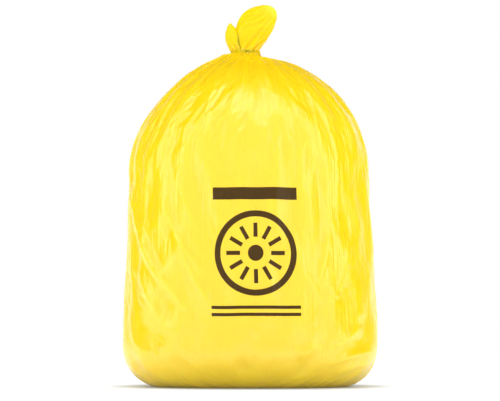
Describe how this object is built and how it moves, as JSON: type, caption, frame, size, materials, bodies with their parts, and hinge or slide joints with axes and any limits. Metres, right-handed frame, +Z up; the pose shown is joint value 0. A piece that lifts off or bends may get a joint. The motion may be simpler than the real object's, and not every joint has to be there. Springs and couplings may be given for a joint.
{
  "type": "filled waste bag",
  "caption": "Tall filled waste bag of thin yellow plastic film, tied at a pinched neck with two upright film ears, standing on a flat foot.",
  "frame": {"origin": "on the floor, in the middle of the bag's greatest width and depth", "axes": "+Z up from the floor to the neck, +X to the right seen from the printed front, +Y from the printed front to the back"},
  "size_m": [0.558, 0.43, 0.841],
  "materials": {
    "yellow_film": "thin polyethylene film, satin gloss, wrinkled"
  },
  "bodies": {
    "root": {"waste_bag": "yellow_film"}
  },
  "joints": []
}
